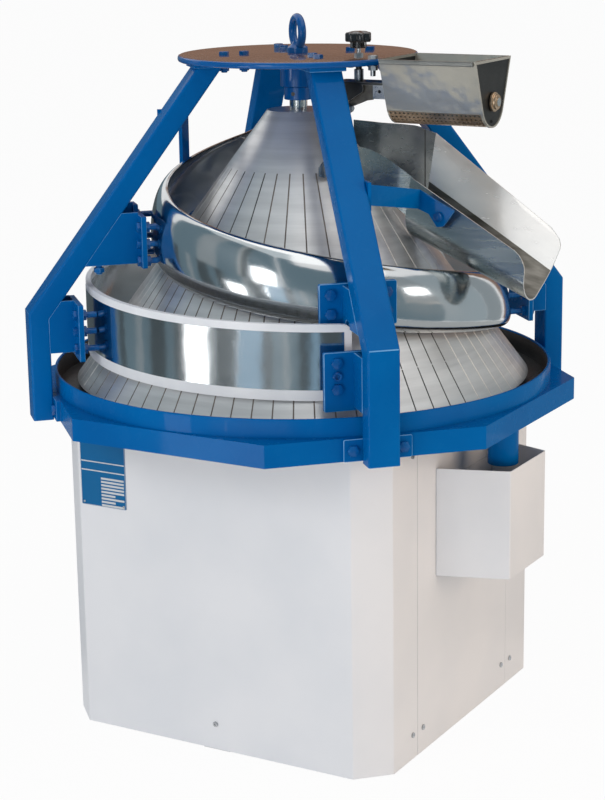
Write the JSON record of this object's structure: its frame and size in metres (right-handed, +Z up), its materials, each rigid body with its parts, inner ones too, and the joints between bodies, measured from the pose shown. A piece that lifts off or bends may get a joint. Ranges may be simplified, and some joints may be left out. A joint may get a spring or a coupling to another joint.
{
  "type": "conical dough rounder",
  "caption": "Bakery dough rounder: a grooved turning cone inside a climbing spiral track, held by a four-post frame on a square cabinet, with a discharge chute, flour duster and catch bin.",
  "frame": {"origin": "on the floor under the middle of the base plate, on the axis of the cone", "axes": "+Z up along the cone's axis, -Y to the front with the rating plate, +X to the side with the catch bin and the chute"},
  "size_m": [1.0179, 1.012, 1.404],
  "materials": {
    "blue_paint": "gloss",
    "white_paint": "satin",
    "black_paint": "satin",
    "grey_paint": "satin",
    "stainless": "polished",
    "edging": "satin",
    "cone_aluminium": "turned",
    "zinc": "plated",
    "brass": "satin",
    "cast": "machined",
    "belt_rubber": "matt",
    "knob_plastic": "gloss",
    "box_plastic": "matt",
    "green_plastic": "gloss",
    "red_plastic": "gloss"
  },
  "bodies": {
    "frame": {"base_plate": "zinc", "chassis": "grey_paint", "deck": "zinc", "front_panel": "white_paint", "rear_panel": "white_paint", "left_panel": "white_paint", "right_panel": "white_paint", "panel_screws": "zinc", "rating_plate": "blue_paint", "octagon_skirt": "blue_paint", "tray_ring": "blue_paint", "tray_floor": "black_paint", "drain_spout": "blue_paint", "post_front_right": "blue_paint", "post_front_left": "blue_paint", "post_back_left": "blue_paint", "post_back_right": "blue_paint", "post_foot_bolts": "blue_paint", "top_plate": "blue_paint", "plate_bolts": "blue_paint", "lifting_eye": "blue_paint", "top_bearing": "blue_paint", "deck_bearing": "cast", "foot_bearing": "cast", "lower_track": "stainless", "track_edging": "edging", "upper_track": "stainless", "lower_track_bolts": "blue_paint", "upper_track_bolts": "blue_paint", "track_hanger": "blue_paint", "chute_trough": "stainless", "chute_throat": "stainless", "chute_arm": "blue_paint", "chute_bolt": "blue_paint", "motor_body": "grey_paint", "drive_belt": "belt_rubber", "switch_box": "box_plastic", "cable_gland": "knob_plastic", "bin_pins": "zinc", "duster_fixings": "zinc"},
    "cone": {"main_shaft": "zinc", "cone_lower": "cone_aluminium", "cone_upper": "cone_aluminium", "cone_spider": "cast", "shaft_collar": "blue_paint", "main_pulley": "cast"},
    "motor_rotor": {"motor_pulley": "cast"},
    "duster": {"duster_bracket": "black_paint", "shaft_block": "zinc", "clamp_bolt": "zinc", "hopper_shell": "stainless", "hopper_ends": "stainless", "perforated_trough": "brass", "hopper_boss": "brass"},
    "agitator_shaft": {"agitator": "stainless"},
    "knob": {"knob_rod": "zinc", "star_knob": "knob_plastic"},
    "start": {"start_button": "green_plastic"},
    "stop": {"stop_button": "red_plastic"},
    "bin": {"catch_bin": "white_paint"}
  },
  "joints": [
    {"name": "cone_spin", "type": "hinge", "parent": "frame", "child": "cone", "pos_m": [0, 0, 0.7], "axis": [0, 0, -1], "continuous": true},
    {"name": "motor_spin", "type": "hinge", "parent": "frame", "child": "motor_rotor", "pos_m": [0, 0.21, 0.15], "axis": [0, 0, -1], "continuous": true},
    {"name": "duster_swing", "type": "hinge", "parent": "frame", "child": "duster", "pos_m": [0.165, -0.055, 1.3], "axis": [0, 0, -1], "range_deg": [0, 30]},
    {"name": "agitator_spin", "type": "hinge", "parent": "duster", "child": "agitator_shaft", "pos_m": [0.34, -0.05, 1.254], "axis": [1, 0, 0], "continuous": true},
    {"name": "knob_turn", "type": "hinge", "parent": "frame", "child": "knob", "pos_m": [0.165, -0.055, 1.34], "axis": [0, 0, 1], "range_deg": [0, 270]},
    {"name": "start_push", "type": "slide", "parent": "frame", "child": "start", "axis": [1, 0, 0], "range_m": [0, 0.004], "stiffness_N_per_m": 500},
    {"name": "stop_push", "type": "slide", "parent": "frame", "child": "stop", "axis": [1, 0, 0], "range_m": [0, 0.004], "stiffness_N_per_m": 500},
    {"name": "bin_slide", "type": "slide", "parent": "frame", "child": "bin", "axis": [1, 0, 0], "range_m": [0, 0.1]}
  ],
  "couplings": [
    {"joint": "motor_spin", "follows": "cone_spin", "ratio": 5.898}
  ]
}
